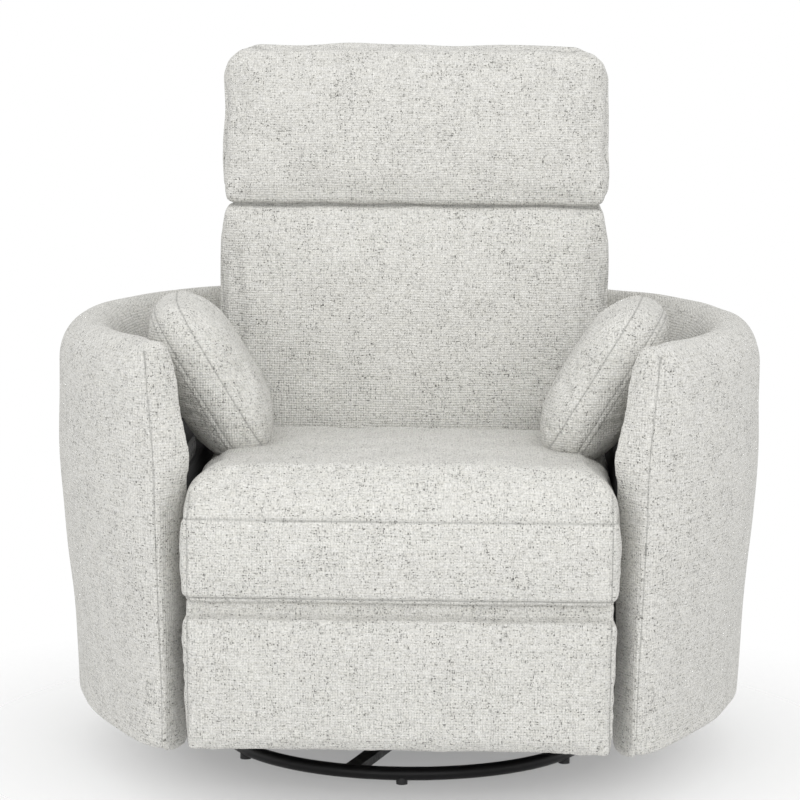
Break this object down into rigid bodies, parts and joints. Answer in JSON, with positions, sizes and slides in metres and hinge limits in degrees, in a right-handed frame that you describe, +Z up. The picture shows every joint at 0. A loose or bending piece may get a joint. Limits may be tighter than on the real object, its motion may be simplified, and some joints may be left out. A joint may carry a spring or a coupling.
{
  "type": "swivel glider recliner",
  "caption": "Upholstered nursery glider with wrap-around arms, reclining back, tilting headrest, lift-up footrest and arm pillows, on a round swivel base.",
  "frame": {"origin": "on the floor, at the middle of the chair's plan, on the swivel axis", "axes": "+Z up, the chair faces -Y, +X to a viewer's right as they face the chair"},
  "size_m": [1.004, 0.934, 1.012],
  "materials": {
    "tweed": "matte",
    "tweed_pillow": "matte",
    "black_steel": "satin",
    "zinc_steel": "satin",
    "spring_steel": "satin",
    "plywood": "matte",
    "black_plastic": "matte",
    "nylon": "satin",
    "button_plastic": "satin"
  },
  "bodies": {
    "base": {"base_ring": "black_steel", "floor_glides": "black_plastic", "base_spokes": "black_steel", "swivel_lower_plate": "black_steel", "swivel_race": "zinc_steel", "swivel_kingpin": "zinc_steel", "hub_fasteners": "zinc_steel"},
    "turntable": {"swivel_upper_plate": "black_steel", "platform_tubes": "black_steel", "link_towers": "black_steel", "link_upper_pins": "zinc_steel"},
    "front_links": {"front_glide_links": "black_steel", "front_link_bushes": "nylon"},
    "rear_links": {"rear_glide_links": "black_steel", "rear_link_bushes": "nylon"},
    "carriage": {"glide_rails": "black_steel", "mechanism_side_plates": "black_steel", "carriage_pins": "zinc_steel", "carriage_cross_tubes": "black_steel", "footrest_motor": "black_plastic", "recline_motor": "black_plastic", "power_box": "black_plastic", "seat_frame": "plywood", "seat_springs": "spring_steel", "seat_cushion": "tweed", "arm_wing_right": "tweed", "arm_wing_left": "tweed", "arm_inner_panel_right": "tweed", "arm_inner_panel_left": "tweed", "arm_deck_right": "tweed", "arm_deck_left": "tweed", "rear_panel": "tweed", "rear_panel_brackets": "black_steel", "control_bezel": "black_plastic"},
    "pillow_right": {"arm_pillow_right": "tweed_pillow"},
    "pillow_left": {"arm_pillow_left": "tweed_pillow"},
    "cranks": {"footrest_cranks": "zinc_steel", "footrest_shaft": "zinc_steel"},
    "control_links": {"footrest_control_links": "zinc_steel"},
    "long_links": {"footrest_long_links": "zinc_steel"},
    "footrest": {"footrest_brackets": "zinc_steel", "footrest_board": "plywood", "footrest_pad": "tweed"},
    "back": {"recline_shaft": "zinc_steel", "back_brackets": "zinc_steel", "back_frame": "plywood", "back_cushion": "tweed", "back_outside_pad": "tweed", "headrest_lower_hinges": "zinc_steel", "headrest_motor": "black_plastic"},
    "headrest": {"headrest_upper_hinges": "zinc_steel", "headrest_shaft": "zinc_steel", "headrest_cushion": "tweed", "headrest_board": "plywood", "headrest_outside_pad": "tweed"},
    "button_recline_back": {"button_recline_back": "button_plastic"},
    "button_recline_forward": {"button_recline_forward": "button_plastic"},
    "button_headrest_out": {"button_headrest_out": "button_plastic"},
    "button_headrest_in": {"button_headrest_in": "button_plastic"}
  },
  "joints": [
    {"name": "swivel", "type": "hinge", "parent": "base", "child": "turntable", "pos_m": [0, 0, 0], "axis": [0, 0, 1], "continuous": true},
    {"name": "glide", "type": "hinge", "parent": "turntable", "child": "rear_links", "pos_m": [0, 0.12, 0.215], "axis": [1, 0, 0], "range_deg": [-22, 22]},
    {"name": "glide_carriage", "type": "hinge", "parent": "rear_links", "child": "carriage", "pos_m": [0, 0.12, 0.115], "axis": [1, 0, 0], "range_deg": [-22, 22]},
    {"name": "glide_front", "type": "hinge", "parent": "turntable", "child": "front_links", "pos_m": [0, -0.12, 0.215], "axis": [1, 0, 0], "range_deg": [-22, 22]},
    {"name": "footrest_open", "type": "hinge", "parent": "carriage", "child": "cranks", "pos_m": [0, -0.235, 0.23], "axis": [-1, 0, 0], "range_deg": [0, 140]},
    {"name": "footrest_long_link", "type": "hinge", "parent": "cranks", "child": "long_links", "pos_m": [0, -0.10477, 0.12073], "axis": [-1, 0, 0], "range_deg": [-140, 0]},
    {"name": "footrest_control_link", "type": "hinge", "parent": "carriage", "child": "control_links", "pos_m": [0, -0.32154, 0.2547], "axis": [-1, 0, 0], "range_deg": [0, 140]},
    {"name": "footrest_tilt", "type": "hinge", "parent": "long_links", "child": "footrest", "pos_m": [0, -0.4, 0.205], "axis": [-1, 0, 0], "range_deg": [0, 90]},
    {"name": "back_recline", "type": "hinge", "parent": "carriage", "child": "back", "pos_m": [0, 0.205, 0.285], "axis": [-1, 0, 0], "range_deg": [0, 35]},
    {"name": "headrest_tilt", "type": "hinge", "parent": "back", "child": "headrest", "pos_m": [0, 0.185, 0.774], "axis": [1, 0, 0], "range_deg": [0, 30]},
    {"name": "pillow_right_lift", "type": "slide", "parent": "carriage", "child": "pillow_right", "axis": [0, 0, 1], "range_m": [0, 0.25]},
    {"name": "pillow_left_lift", "type": "slide", "parent": "carriage", "child": "pillow_left", "axis": [0, 0, 1], "range_m": [0, 0.25]},
    {"name": "press_recline_back", "type": "slide", "parent": "carriage", "child": "button_recline_back", "axis": [-1, 0, 0], "range_m": [0, 0.0014], "stiffness_N_per_m": 600},
    {"name": "press_recline_forward", "type": "slide", "parent": "carriage", "child": "button_recline_forward", "axis": [-1, 0, 0], "range_m": [0, 0.0014], "stiffness_N_per_m": 600},
    {"name": "press_headrest_out", "type": "slide", "parent": "carriage", "child": "button_headrest_out", "axis": [-1, 0, 0], "range_m": [0, 0.0014], "stiffness_N_per_m": 600},
    {"name": "press_headrest_in", "type": "slide", "parent": "carriage", "child": "button_headrest_in", "axis": [-1, 0, 0], "range_m": [0, 0.0014], "stiffness_N_per_m": 600}
  ],
  "couplings": [
    {"joint": "glide_carriage", "follows": "glide", "ratio": -1},
    {"joint": "glide_front", "follows": "glide", "ratio": 1},
    {"joint": "footrest_long_link", "follows": "footrest_open", "ratio": -1},
    {"joint": "footrest_control_link", "follows": "footrest_open", "ratio": 1},
    {"joint": "footrest_tilt", "follows": "footrest_open", "ratio": 0.64286}
  ]
}
